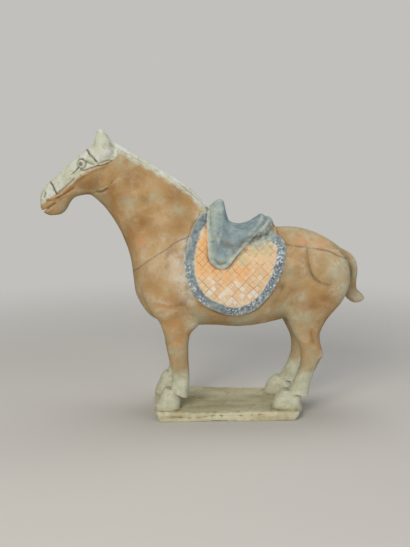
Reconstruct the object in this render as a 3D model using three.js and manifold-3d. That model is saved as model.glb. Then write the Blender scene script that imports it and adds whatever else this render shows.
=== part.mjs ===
import * as THREE from 'three';
import { mergeVertices } from 'three/addons/utils/BufferGeometryUtils.js';
import Module from 'manifold-3d';

// A standing saddled horse in fired clay on a hand-cut slab, in millimetres.
// +Z is up, the head is towards -X, and the horse's left flank is towards -Y.
// The origin is in the middle of the slab's underside.

const wasm = await Module();
wasm.setup();

// Driving dimensions
const SLAB_THICKNESS = 11;
const SLAB_FRONT = -52;
const CLOTH_THICKNESS = 2.4;
const FLAP_THICKNESS = 5.2;
const PAD_THICKNESS = 4.4;
const HALF_REACH = 70;
const FORE_SPREAD = 30;
const HIND_SPREAD = 29;
const FAR_FORE_SHIFT = -4;
const FAR_HIND_SHIFT = -3.5;
const FAR_HOOF_SHIFT = -1;
const FAR_HOOF_RAISE = 3.5;
const EAR_SPREAD = 11.5;

// Sections are rings of points, with this many points around and rings between two stations
const TRUNK_SIDES = 24;
const HEAD_SIDES = 16;
const LEG_SIDES = 12;
const SMALL_SIDES = 10;

// Trunk and neck from the rump to the poll: x and z on the back, x and z on the belly or throat,
// half width, and how much narrower the section is towards the back or crest
const TRUNK = [
  [147.5, 178, 147.5, 160, 8, 0],
  [145.5, 188, 144, 150, 21, 0],
  [139, 198, 136, 141.5, 32, 0],
  [128, 206.6, 124, 129, 40, 0],
  [112, 215.6, 106, 121, 44.5, 0.04],
  [92, 223, 86, 117.5, 45.5, 0.06],
  [70, 225, 66, 113.5, 45.5, 0.08],
  [46, 223, 44, 108.5, 48, 0.1],
  [16, 221, 16, 105.2, 50, 0.12],
  [-10, 226, -18, 107.5, 49.5, 0.16],
  [-20, 242, -58, 107, 47, 0.24],
  [-29, 255, -89.5, 118, 45.5, 0.3],
  [-44, 268, -106, 141, 43, 0.33],
  [-61, 281.5, -110.5, 165, 39, 0.34],
  [-83, 294.5, -115, 195, 33, 0.32],
  [-106, 307, -127, 224.5, 26.5, 0.28],
  [-125, 317.5, -142, 247, 20.5, 0.22],
  [-137, 321, -153, 261, 16.5, 0.1],
  [-146, 316, -156, 275, 10, 0],
];

// Cropped mane: x and z on the crest, x and z at its root, half width
const MANE = [
  [-141, 323, -138, 313, 3],
  [-133.5, 325.6, -131, 314, 5],
  [-121, 319.2, -117, 307, 5.2],
  [-99.5, 306.6, -95, 295, 5],
  [-75, 291.6, -70, 280, 5],
  [-50, 276.8, -44, 265, 5],
  [-34, 262.5, -27, 252, 4.6],
  [-24, 251.4, -16, 242, 3.4],
];

// Head from the poll to the lips: x and z on the brow, x and z under the jaw, half width
const HEAD = [
  [-137, 318, -128, 284, 10],
  [-146, 324, -134.5, 272, 17.5],
  [-155.4, 323, -142, 265, 20],
  [-163.5, 316.4, -151.5, 261.5, 20.5],
  [-173, 309.3, -160, 261.8, 19.6],
  [-181.5, 302.6, -169, 262.8, 17.6],
  [-190.5, 294.7, -178, 260.6, 15.2],
  [-199, 286.8, -184, 254.4, 13.4],
  [-207, 279.6, -188.6, 246.4, 12.6],
  [-213.2, 273, -194.5, 241.4, 12.6],
  [-217.2, 266.3, -202.5, 239.8, 12],
  [-218.6, 257.5, -209.5, 240.2, 10.4],
  [-218.3, 250, -214.5, 243.2, 5.6],
];

// Ear: x and z of its front edge, x and z of its rear edge, half width, y off the base
const EAR = [
  [-149, 304, -139, 304, 3, -1],
  [-154, 314, -134.8, 314, 6, -1],
  [-153.8, 323.5, -134.6, 323.5, 6.4, 0],
  [-152.4, 331, -138.4, 331, 5, 0.6],
  [-150.6, 336.8, -141.8, 336.8, 3.2, 1.2],
  [-148.4, 340, -145, 340, 1.2, 1.6],
];

// Foreleg from the shoulder to the pastern: x and z in front, x and z behind, y off its line, half width
const FORELEG = [
  [-98, 196, -52, 192, 7, 9],
  [-103, 172, -42, 168, 2.5, 15.5],
  [-99, 150, -38, 146, 0, 17.6],
  [-90, 131, -36, 128, 0, 17],
  [-80.5, 118, -39, 114, 0, 15.6],
  [-74.5, 101, -44.4, 101, 0, 13.8],
  [-71.4, 87, -45.8, 87, 0, 12.4],
  [-68.6, 70, -45.6, 70, 0, 11],
  [-65.6, 56, -45, 56, 0, 10],
  [-64.6, 43, -45.2, 42, 0, 10.2],
  [-66.6, 35, -46.2, 31, 0, 11.4],
  [-72, 30, -47, 20.6, 0, 11.6],
  [-77, 24, -54, 17, 0, 11],
];

// Hind leg from the haunch to the pastern, in the same columns
const HIND_LEG = [
  [88, 206, 133, 200, 8, 9],
  [75, 186, 143.5, 182, 3, 16],
  [66, 158, 144.5, 160, 0.5, 19],
  [66.5, 133, 135, 139.5, 0, 18.4],
  [72.5, 115, 120.5, 121, 0, 16],
  [79.4, 100.5, 111.2, 104, 0, 13.8],
  [86.2, 86.5, 110.4, 92, 0, 12],
  [88.4, 76, 113.8, 80.5, 0, 11.2],
  [88.5, 69, 114.9, 75.6, 0, 11],
  [88, 62, 110.4, 67.4, 0, 10.6],
  [84, 50.5, 103.8, 52, 0, 9.8],
  [78.6, 39, 100, 39, 0, 10.2],
  [74.6, 33, 99, 29.6, 0, 11.4],
  [69, 27.5, 97.6, 22, 0, 11.8],
  [63.5, 22, 89, 16, 0, 11],
];

// Hoof, from the coronet down, about the toe's line: x and z in front, x and z behind, y, half width
const FORE_HOOF = [
  [-70, 33.5, -57, 26.5, 0, 9],
  [-75.6, 29.5, -55.4, 22, 0, 12.2],
  [-81.4, 21.5, -56, 17, 0, 13.4],
  [-86, 12.5, -56, 11.5, 0, 13.8],
  [-86.4, 6, -58, 6, 0, 13.2],
];
const HIND_HOOF = [
  [68, 27, 85, 21.5, 0, 9.4],
  [62.8, 23.6, 88, 19, 0, 12],
  [57.5, 17.5, 90.4, 15.5, 0, 13.4],
  [55.4, 11.5, 91.6, 11, 0, 13.6],
  [56, 6, 90, 6, 0, 13],
];

// Tail laid down the rump and turned out at its tip: x and z outside, x and z inside, half width
const TAIL = [
  [139, 199, 132, 188, 3],
  [149.6, 193, 140, 181, 5.6],
  [157.2, 184, 145, 176, 6.2],
  [159.6, 172, 146.5, 168, 6.4],
  [158.4, 158, 145.5, 155, 6.8],
  [159.4, 149, 145.5, 141, 7.2],
  [164.6, 144, 152.5, 133.4, 7.2],
  [168.4, 140, 161, 131.8, 5.2],
  [169.2, 137, 166.6, 134, 1.6],
];

// Saddle tree from the withers to the back of the cantle: x, top z, lower z, half width, narrowing
const SADDLE = [
  [-24, 243, 206, 15, 0.2],
  [-20, 249, 200, 21, 0.3],
  [-14, 254.4, 194, 27.5, 0.38],
  [-8, 258, 190, 31, 0.42],
  [-3, 255.8, 188, 33, 0.42],
  [-0.4, 248, 184, 34, 0.34],
  [2.5, 236, 180, 35, 0.16],
  [8, 230.4, 180, 35, 0.06],
  [18, 228, 180, 35, 0.02],
  [30, 231.6, 182, 34.5, 0.04],
  [38, 236.6, 186, 33.5, 0.1],
  [45, 240.4, 190, 32.5, 0.16],
  [53, 236.8, 194, 30, 0.16],
  [57, 230.6, 198, 26, 0.1],
  [59.5, 223, 203, 20, 0],
];

// Outlines seen from the side, x and z, closed by smooth curves
const CLOTH_OUTLINE = [
  [-24, 244], [-41, 227], [-49, 199], [-49, 172], [-38.5, 147.5], [-20, 130], [4.5, 124],
  [29, 129], [47, 145], [61, 172], [68, 203], [62, 213], [20, 236],
];
const FLAP_OUTLINE = [
  [-20, 247], [-21.5, 213], [-21, 191], [-15, 184], [-1, 181], [8, 186], [18.5, 201.5],
  [41.5, 225.5], [54, 238], [18, 250],
];
const PAD_OUTLINE = [[14, 215], [29, 203], [50, 204], [58, 210], [60, 226], [52, 240], [24, 240]];

// The slab's corners, x and y, its corner radius, and its edge as height and insets along x and y
const SLAB_CORNERS = [[-86, SLAB_FRONT], [88, SLAB_FRONT], [86, 45], [-87, 57]];
const SLAB_RADIUS = 9;
const SLAB_EDGE = [[0, 4.6, 1.4], [1.6, 3.2, 0.4], [7.5, 0.4, 0.2], [9.6, 0.6, 0.6], [SLAB_THICKNESS, 2.2, 2.4]];

// Carving on the head, as centre and half sizes along x, y and z, and tilt about y in degrees
const EYE = { at: [-170, 16.6, 299], size: [4.8, 4.6, 5.4], tilt: 20 };
const BROW = { at: [-163, 15.6, 303.6], size: [11, 4.6, 2.6], tilt: 18 };
const NOSTRIL = { at: [-214, 11.2, 260.5], size: [1.9, 3, 3.6], tilt: 20 };
const SCOOP = { shrink: 3.2, lift: 5, out: -6 };
const MOUTH = { lip: [-223, 240.2], corner: [-203, 253], gap: 1.6 };

// Smooth value between four table rows, each row a list of numbers
function between(a, b, c, d, t) {
  return b.map((value, i) => {
    const rise = (c[i] - a[i]) / 2;
    const fall = (d[i] - b[i]) / 2;
    const step = c[i] - value;
    return value + t * (rise + t * (3 * step - 2 * rise - fall + t * (rise + fall - 2 * step)));
  });
}

// All rows of a table with smooth rows added between them
function smoothRows(table, steps) {
  const last = table.length - 1;
  const rows = [];
  for (let i = 0; i < last; i += 1) {
    const before = table[Math.max(i - 1, 0)];
    const after = table[Math.min(i + 2, last)];
    for (let k = 0; k < steps; k += 1) {
      rows.push(between(before, table[i], table[i + 1], after, k / steps));
    }
  }
  rows.push(table[last]);
  return rows;
}

// A closed solid through rings of equal point counts, with a fan over each end
function skin(rings) {
  const sides = rings[0].length;
  const points = rings.flat();
  const faces = [];
  for (let r = 0; r + 1 < rings.length; r += 1) {
    for (let i = 0; i < sides; i += 1) {
      const a = r * sides + i;
      const b = r * sides + (i + 1) % sides;
      faces.push(a, b, b + sides, a, b + sides, a + sides);
    }
  }
  const middle = (ring) => ring.reduce((sum, p) => sum.add(p), new THREE.Vector3()).divideScalar(sides);
  const first = points.push(middle(rings[0])) - 1;
  const final = points.push(middle(rings[rings.length - 1])) - 1;
  const offset = (rings.length - 1) * sides;
  for (let i = 0; i < sides; i += 1) {
    const next = (i + 1) % sides;
    faces.push(first, next, i, final, offset + i, offset + next);
  }
  const geometry = new THREE.BufferGeometry().setFromPoints(points);
  geometry.setIndex(faces);
  return solid(geometry);
}

// A manifold solid from a closed geometry, turned the right way out if its faces point in
function solid(source) {
  const geometry = source.clone();
  geometry.deleteAttribute('normal');
  geometry.deleteAttribute('uv');
  const merged = mergeVertices(geometry, 1e-4);
  const vertProperties = new Float32Array(merged.attributes.position.array);
  const triVerts = new Uint32Array(merged.index.array);
  const made = new wasm.Manifold(new wasm.Mesh({ numProp: 3, vertProperties, triVerts }));
  if (made.volume() > 0) return made;
  for (let i = 0; i < triVerts.length; i += 3) {
    [triVerts[i], triVerts[i + 1]] = [triVerts[i + 1], triVerts[i]];
  }
  return new wasm.Manifold(new wasm.Mesh({ numProp: 3, vertProperties, triVerts }));
}

// A ring between two points of the side view: a rounded oval, narrower towards the first point
function ovalRing(front, back, y, half, narrowing, sides, square) {
  const centre = front.clone().add(back).divideScalar(2);
  const reach = front.clone().sub(back).divideScalar(2);
  const power = 2 / square;
  const ring = [];
  for (let i = 0; i < sides; i += 1) {
    const angle = (2 * Math.PI * i) / sides;
    const along = Math.sign(Math.cos(angle)) * Math.abs(Math.cos(angle)) ** power;
    const across = Math.sign(Math.sin(angle)) * Math.abs(Math.sin(angle)) ** power;
    const point = centre.clone().addScaledVector(reach, along);
    point.y = y + half * across * (1 - narrowing * along);
    ring.push(point);
  }
  return ring;
}

// A solid along a table of paired outline points, grown outwards by a margin
function loft(table, { sides, steps = 2, square = 2.2, read, margin = 0 }) {
  const rings = smoothRows(table, steps).map((row) => {
    const { front, back, y = 0, half, narrowing = 0 } = read(row);
    const out = front.clone().sub(back).normalize().multiplyScalar(margin);
    front.add(out);
    back.sub(out);
    return ovalRing(front, back, y, half + margin, narrowing, sides, square);
  });
  return skin(rings);
}

const sidePoint = (x, z) => new THREE.Vector3(x, 0, z);

function trunk(margin) {
  const read = ([x1, z1, x2, z2, half, narrowing]) => (
    { front: sidePoint(x1, z1), back: sidePoint(x2, z2), half, narrowing });
  return loft(TRUNK, { sides: TRUNK_SIDES, read, margin });
}

const readPlain = ([x1, z1, x2, z2, half]) => ({ front: sidePoint(x1, z1), back: sidePoint(x2, z2), half });

function mane() {
  return loft(MANE, { sides: 8, steps: 2, square: 2.6, read: readPlain });
}

function tail() {
  return loft(TAIL, { sides: SMALL_SIDES, read: readPlain });
}

// A leg or hoof: side is -1 for the horse's left and 1 for its right, where the feet stand a little forward
function limb(table, side, spread, shift, { steps, square, raise = 0 }) {
  const read = ([x1, z1, x2, z2, inward, half]) => ({
    front: sidePoint(x1 + shift, z1 + raise),
    back: sidePoint(x2 + shift, z2 + raise),
    y: side * (spread - inward),
    half,
  });
  return loft(table, { sides: LEG_SIDES, steps, square, read });
}

function legs() {
  const made = [];
  for (const side of [-1, 1]) {
    const right = side > 0;
    const foreShift = right ? FAR_FORE_SHIFT : 0;
    const hindShift = right ? FAR_HIND_SHIFT : 0;
    const leg = { steps: 2, square: 2.5 };
    const hoof = { steps: 1, square: 2.8 };
    const foreHoof = { ...hoof, raise: right ? FAR_HOOF_RAISE : 0 };
    made.push(limb(FORELEG, side, FORE_SPREAD, foreShift, leg));
    made.push(limb(HIND_LEG, side, HIND_SPREAD, hindShift, leg));
    made.push(limb(FORE_HOOF, side, FORE_SPREAD, right ? FAR_HOOF_SHIFT : 0, foreHoof));
    made.push(limb(HIND_HOOF, side, HIND_SPREAD, hindShift, hoof));
  }
  return made;
}

// An egg-shaped boss or hollow on one cheek
function egg({ at, size, tilt }, side) {
  const ball = new THREE.SphereGeometry(1, 14, 10);
  ball.scale(...size);
  ball.rotateY(THREE.MathUtils.degToRad(tilt));
  ball.translate(at[0], side * at[1], at[2]);
  return solid(ball);
}

// One ear, a leaf of clay with a scooped front
function ear(side) {
  const leaf = (shrink, lift, out) => EAR.map(([x1, z1, x2, z2, half, lean]) => [
    x1 + shrink, z1 + lift, x2 - shrink, z2 + lift, half - shrink * 0.4, lean + out]);
  const read = ([x1, z1, x2, z2, half, lean]) => (
    { front: sidePoint(x1, z1), back: sidePoint(x2, z2), y: side * (EAR_SPREAD - lean), half });
  const whole = loft(leaf(0, 0, 0), { sides: SMALL_SIDES, steps: 1, read });
  const scoop = loft(leaf(SCOOP.shrink, SCOOP.lift, SCOOP.out), { sides: SMALL_SIDES, steps: 1, read });
  return whole.subtract(scoop);
}

// The slit of the mouth, a thin wedge through the muzzle
function mouth() {
  const { lip, corner, gap } = MOUTH;
  const wedge = new THREE.Shape();
  wedge.moveTo(...corner);
  wedge.lineTo(lip[0], lip[1] + gap);
  wedge.lineTo(lip[0], lip[1] - gap);
  return sideExtrusion(wedge);
}

function head() {
  let made = loft(HEAD, { sides: HEAD_SIDES, square: 2.4, read: readPlain });
  for (const side of [-1, 1]) {
    made = made.add(ear(side)).add(egg(BROW, side)).add(egg(EYE, side));
    made = made.subtract(egg(NOSTRIL, side));
  }
  return made.subtract(mouth());
}

// A side-view shape carried through the whole width of the horse
function sideExtrusion(shape) {
  const block = new THREE.ExtrudeGeometry(shape, { depth: 2 * HALF_REACH, bevelEnabled: false });
  block.translate(0, 0, -HALF_REACH);
  block.rotateX(Math.PI / 2);
  return solid(block);
}

function smoothOutline(points, steps) {
  const curve = new THREE.CatmullRomCurve3(points.map(([x, z]) => new THREE.Vector3(x, z, 0)), true);
  return new THREE.Shape(curve.getPoints(points.length * steps).slice(0, -1));
}

// A skin of clay laid over the trunk inside a side outline
function cover(outline, thickness) {
  return trunk(thickness).intersect(sideExtrusion(smoothOutline(outline, 2)));
}

function saddle() {
  const rings = smoothRows(SADDLE, 1).map(([x, top, under, half, narrowing]) => (
    ovalRing(sidePoint(x, top), sidePoint(x, under), 0, half, narrowing, HEAD_SIDES, 2)));
  return [skin(rings), cover(FLAP_OUTLINE, FLAP_THICKNESS), cover(PAD_OUTLINE, PAD_THICKNESS)];
}

// One ring of the slab's outline with round corners, drawn in by an inset
function slabRing(height, insetX, insetY) {
  const ring = [];
  SLAB_CORNERS.forEach(([x, y], i) => {
    const centreX = x - Math.sign(x) * SLAB_RADIUS;
    const centreY = y - Math.sign(y) * SLAB_RADIUS;
    for (let k = 0; k <= 3; k += 1) {
      const angle = Math.PI * (1 + i / 2 + k / 6);
      ring.push(new THREE.Vector3(
        centreX + (SLAB_RADIUS - insetX) * Math.cos(angle),
        centreY + (SLAB_RADIUS - insetY) * Math.sin(angle),
        height));
    }
  });
  return ring;
}

function slab() {
  return skin(SLAB_EDGE.map(([height, insetX, insetY]) => slabRing(height, insetX, insetY)));
}

// All forms joined into the one fired piece
function horse() {
  const forms = [trunk(0), mane(), head(), tail(), ...legs(), ...saddle(), slab()];
  forms.push(cover(CLOTH_OUTLINE, CLOTH_THICKNESS));
  const whole = forms.reduce((sum, form) => sum.add(form));
  const { vertProperties, triVerts, numProp } = whole.getMesh();
  const positions = [];
  for (let i = 0; i < vertProperties.length; i += numProp) {
    positions.push(...vertProperties.slice(i, i + 3));
  }
  const geometry = new THREE.BufferGeometry();
  geometry.setAttribute('position', new THREE.Float32BufferAttribute(positions, 3));
  geometry.setIndex([...triVerts]);
  geometry.computeVertexNormals();
  const clay = new THREE.MeshStandardMaterial({ color: '#a8794f', roughness: 0.92, metalness: 0 });
  const mesh = new THREE.Mesh(geometry, clay);
  mesh.name = 'terracotta_horse';
  return mesh;
}

const group = new THREE.Group();
group.add(horse());
export default group;
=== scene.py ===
"""A standing saddled horse in painted fired clay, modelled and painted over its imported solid.

The clay forms are lofts between pairs of points of the side view, in millimetres, as in the solid:
+Z is up, the head is towards -X, the horse's left flank is towards -Y, and the origin is in the
middle of the slab's underside. The forms are welded by a fine remesh, their joins are filled as a
thumb fills them, the carving is pressed in, and the paint follows outlines of the side view.
"""
import math

import bmesh
import bpy
import numpy as np
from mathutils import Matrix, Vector


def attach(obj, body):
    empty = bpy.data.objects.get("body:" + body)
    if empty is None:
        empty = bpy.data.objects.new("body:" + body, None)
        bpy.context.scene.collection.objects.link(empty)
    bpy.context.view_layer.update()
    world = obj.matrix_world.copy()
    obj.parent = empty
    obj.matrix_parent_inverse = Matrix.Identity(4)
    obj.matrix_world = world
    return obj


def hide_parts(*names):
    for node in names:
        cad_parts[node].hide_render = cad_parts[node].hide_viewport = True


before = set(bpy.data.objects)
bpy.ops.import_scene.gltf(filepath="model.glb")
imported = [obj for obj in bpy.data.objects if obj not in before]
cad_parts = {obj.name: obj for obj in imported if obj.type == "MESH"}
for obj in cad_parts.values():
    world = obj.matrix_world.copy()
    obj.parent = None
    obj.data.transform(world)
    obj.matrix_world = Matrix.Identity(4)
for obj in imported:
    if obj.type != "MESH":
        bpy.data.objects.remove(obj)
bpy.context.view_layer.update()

MM = 0.001
SOLID = "terracotta_horse"

# Camera: where it stands in millimetres, its heading off +Y and its dip in degrees, and the length
# of its view in pixels of a picture of 410 by 547
PICTURE_HEIGHT = 547
CAMERA_AT = (-59.9, -999.4, 341.2)
CAMERA_HEADING = 2.0
CAMERA_DIP = 9.8
VIEW_LENGTH = 842.3
SENSOR = 36.0

# Floor and backdrop
FLOOR = "#c9c7c2"
BACKDROP = "#c1c0bc"

# Driving dimensions of the solid, in millimetres
SLAB_THICKNESS = 11
SLAB_FRONT = -52
CLOTH_THICKNESS = 2.4
FLAP_THICKNESS = 5.2
PAD_THICKNESS = 3
HALF_REACH = 70
FORE_SPREAD = 30
HIND_SPREAD = 29
FAR_FORE_SHIFT = -4
FAR_HIND_SHIFT = -3.5
FAR_HOOF_SHIFT = -1
FAR_HOOF_RAISE = 3.5
EAR_SPREAD = 11.5

# Fineness of the clay's skin: the weld's voxel in millimetres, the triangles kept of it, and the place
# of the head, which keeps all of its own
WELD = 0.75
TRIANGLES_KEPT = 190000
HEAD_REAR = -130
HEAD_FLOOR = 236

# Trunk and neck from the rump to the poll: x and z on the back, x and z on the belly or throat,
# half width, and how much narrower the section is towards the back or crest
TRUNK = [
    [147.5, 178, 147.5, 160, 8, 0],
    [145.5, 188, 144, 150, 21, 0],
    [139, 198, 136, 141.5, 32, 0],
    [128, 206.6, 124, 129, 40, 0],
    [112, 215.6, 106, 121, 44.5, 0.04],
    [92, 223, 86, 117.5, 45.5, 0.06],
    [70, 225, 66, 113.5, 45.5, 0.08],
    [46, 223, 44, 108.5, 48, 0.1],
    [16, 221, 16, 105.2, 50, 0.12],
    [-10, 226, -18, 107.5, 49.5, 0.16],
    [-20, 242, -58, 107, 47, 0.24],
    [-29, 255, -89.5, 118, 45.5, 0.3],
    [-44, 268, -106, 141, 43, 0.33],
    [-61, 281.5, -110.5, 165, 39, 0.34],
    [-83, 294.5, -115, 195, 33, 0.32],
    [-106, 307, -127, 224.5, 26.5, 0.28],
    [-125, 317.5, -142, 247, 20.5, 0.22],
    [-137, 321, -151.5, 257.2, 16.5, 0.1],
    [-146, 316, -159, 263.4, 10, 0],
]

# Cropped mane: x and z on the crest, x and z at its root, half width
MANE = [
    [-141, 323, -138, 313, 3],
    [-133.5, 325.6, -131, 314, 5],
    [-121, 319.2, -117, 307, 5.2],
    [-99.5, 306.6, -95, 295, 5],
    [-75, 291.6, -70, 280, 5],
    [-50, 276.8, -44, 265, 5],
    [-34, 262.5, -27, 252, 4.6],
    [-24, 251.4, -16, 242, 3.4],
]

# Head from the poll to the lips: x and z on the brow, x and z under the jaw, half width
HEAD = [
    [-137, 318, -128, 284, 10],
    [-146, 324, -134.5, 272, 17.5],
    [-155.4, 323, -142, 267, 20],
    [-163.5, 316.4, -151.5, 264.6, 20.5],
    [-173, 309.3, -160, 264.2, 19.6],
    [-181.5, 302.6, -169, 263.4, 17.6],
    [-190.5, 294.7, -178, 260.6, 15.2],
    [-199, 286.8, -184, 254.4, 13.4],
    [-207, 279.6, -188.6, 246.4, 12.6],
    [-213.2, 273, -194.5, 241.4, 12.6],
    [-217.2, 266.3, -202.5, 239.8, 12],
    [-218.6, 257.5, -209.5, 240.2, 10.4],
    [-218.6, 250, -215, 243.4, 7.4],
]

# Ear: x and z of its front edge, x and z of its rear edge, half width, y off the base
EAR = [
    [-149, 304, -139, 304, 2.4, 1],
    [-153, 314, -136.4, 314, 4.8, 1],
    [-153.8, 323.5, -134.6, 323.5, 5.6, 0],
    [-152.2, 330.6, -138.2, 330.6, 4.8, 0.6],
    [-150.4, 336.6, -141.6, 336.6, 3.2, 1.2],
    [-148.6, 340, -145, 340, 1.4, 1.6],
]
SCOOP_SHRINK = 2.2
SCOOP_LIFT = 3.6
SCOOP_OUT = -5.4

# Foreleg from the shoulder to the pastern: x and z in front, x and z behind, y off its line, half width
FORELEG = [
    [-98, 196, -52, 192, 7, 9],
    [-103, 172, -42, 168, 2.5, 15.5],
    [-99, 150, -38, 146, 0, 17.6],
    [-90, 131, -36, 128, 0, 17],
    [-80.5, 118, -33, 114.5, 0, 15.6],
    [-77, 109, -39.4, 107, 0, 14.8],
    [-74.5, 101, -43.8, 101, 0, 13.8],
    [-71.4, 87, -45.8, 87, 0, 12.4],
    [-68.6, 70, -45.6, 70, 0, 11],
    [-65.8, 56, -45, 56, 0, 10],
    [-65, 47, -45, 45, 0, 10.2],
    [-66.8, 39, -46, 33, 0, 11.2],
    [-66, 32, -46.6, 23.6, 0, 11.8],
]

# Hind leg from the haunch to the pastern, in the same columns
HIND_LEG = [
    [88, 206, 133, 200, 8, 9],
    [75, 186, 143.5, 182, 3, 16],
    [66, 158, 144.5, 160, 0.5, 19],
    [66.5, 133, 135, 139.5, 0, 18.4],
    [72.5, 115, 120.5, 121, 0, 16],
    [79.4, 100.5, 111.2, 104, 0, 13.8],
    [86.2, 86.5, 110.4, 92, 0, 12],
    [88.4, 76, 113.8, 80.5, 0, 11.2],
    [88.5, 69, 114.9, 75.6, 0, 11],
    [88, 62, 110.4, 67.4, 0, 10.6],
    [84, 50.5, 103.8, 52, 0, 9.8],
    [78.6, 39, 100, 39, 0, 10.2],
    [75.2, 34, 98.6, 31, 0, 11.4],
    [73, 30, 98, 24, 0, 12],
]

# Hooves from the coronet down, in the same columns
FORE_HOOF = [
    [-73.4, 36.4, -56, 32, 0, 8.4],
    [-77.4, 31, -55.4, 24, 0, 12.4],
    [-80.8, 23, -55.2, 17.4, 0, 13.6],
    [-85.6, 13, -56.4, 11.5, 0, 14],
    [-86.4, 6, -58, 6, 0, 13.2],
]
HIND_HOOF = [
    [67.4, 32.6, 87.4, 30, 0, 8.4],
    [61.4, 27.2, 89, 22, 0, 12.4],
    [57, 20, 89.4, 16.4, 0, 13.6],
    [54.6, 12, 90, 11, 0, 14],
    [55.6, 6, 89.6, 6, 0, 13.2],
]

# Tail laid down the rump and turned out at its tip: x and z outside, x and z inside, half width
TAIL = [
    [139, 199, 132, 188, 3],
    [149.6, 193, 140, 181, 5.6],
    [157.2, 184, 145, 176, 6.2],
    [159.6, 172, 146.5, 168, 6.4],
    [158.4, 158, 145.5, 155, 6.8],
    [159.4, 149, 145.5, 141, 7.2],
    [164.6, 144, 152.5, 133.4, 7.2],
    [168.4, 140, 161, 131.8, 5.2],
    [169.2, 137, 166.6, 134, 1.6],
]

# Saddle tree from the withers to the back of the cantle, in slanting sections: x and z on top, x and z
# below, half width, and how much narrower the section is towards the top
SADDLE = [
    [-24, 244, -24, 206, 19, 0.3],
    [-20, 250, -21, 200, 27, 0.4],
    [-14, 255.6, -18, 194, 34, 0.48],
    [-8, 258, -15, 190, 37.5, 0.5],
    [-3.4, 256, -13, 188, 38.5, 0.46],
    [-0.8, 247, -11, 186, 38, 0.32],
    [2.5, 234.4, -8, 186, 37.5, 0.06],
    [8, 230, -3, 188, 37, -0.1],
    [18, 228.6, 4, 192, 36.5, -0.14],
    [30, 232.6, 11, 197, 36, -0.1],
    [38, 237.6, 16, 202, 35, 0],
    [43, 240.6, 20, 206, 33.5, 0.08],
    [47.6, 237.2, 24.6, 208.5, 31, 0.1],
    [51, 237.6, 29, 210, 31.4, 0.1],
    [54.6, 234.6, 33, 211, 29.6, 0.1],
    [57.4, 227.8, 38, 211, 25, 0.1],
    [59.4, 223.6, 43, 211, 19, 0],
]

# Outlines seen from the side, x and z, closed by smooth curves
CLOTH_OUTLINE = [
    [-24, 244], [-32.5, 239], [-41, 226.5], [-48.5, 201], [-49.2, 176], [-38.4, 150], [-19, 134.6],
    [4.5, 126.4], [28, 131.5], [46, 147.8], [60.4, 172], [66.8, 196], [67.6, 206], [64, 214], [54, 221],
    [20, 236],
]
FLAP_OUTLINE = [
    [-20, 247], [-22.5, 213], [-22.4, 195], [-16.5, 186], [-7.8, 182], [-0.5, 184.6], [5, 190.5],
    [15, 202], [26, 212], [41.5, 226], [54, 238], [18, 250],
]
PAD_OUTLINE = [[14, 215], [24, 204], [34, 203], [48, 207], [55.5, 213], [58.5, 224], [54, 240], [24, 240]]

# The slab's corners, x and y, its corner radius, and its edge as height and insets along x and y
SLAB_CORNERS = [[-86, SLAB_FRONT], [88, SLAB_FRONT], [86, 45], [-87, 57]]
SLAB_RADIUS = 9
SLAB_EDGE = [
    [0, 4.6, 1.4], [1.6, 3.2, 0.4], [7.5, 0.4, 0.2], [9.6, 0.6, 0.6], [SLAB_THICKNESS, 2.2, 2.4],
]

# Mouth wedge, eyeball, pupil and the boss of the poll under the ears, in millimetres and degrees
MOUTH_LIP = (-223, 240.2)
MOUTH_CORNER = (-203, 253)
MOUTH_GAP = 2.2
EYE_AT = (-167.6, 16.4, 299.8)
EYE_SIZE = (5.4, 4.6, 5.6)
EYE_TILT = 20
PUPIL = (-168.7, 300.6)
POLL_AT = (-145.4, 7.6, 311.8)
POLL_SIZE = (14.5, 12, 11)
POLL_TILT = -10

# Joins that a thumb filled: x, distance from the middle plane, z, radius
FILLED_JOINS = [
    (-72, 40, 150, 62), (-45, 26, 118, 34), (-90, 26, 130, 34), (105, 38, 165, 66), (70, 26, 122, 34),
    (118, 24, 140, 36), (-138, 14, 285, 30), (-150, 8, 262, 24), (-146, 8, 318, 16), (145, 2, 180, 26),
    (-10, 34, 216, 20), (12, 36, 210, 16), (54, 24, 228, 12),
]

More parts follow.
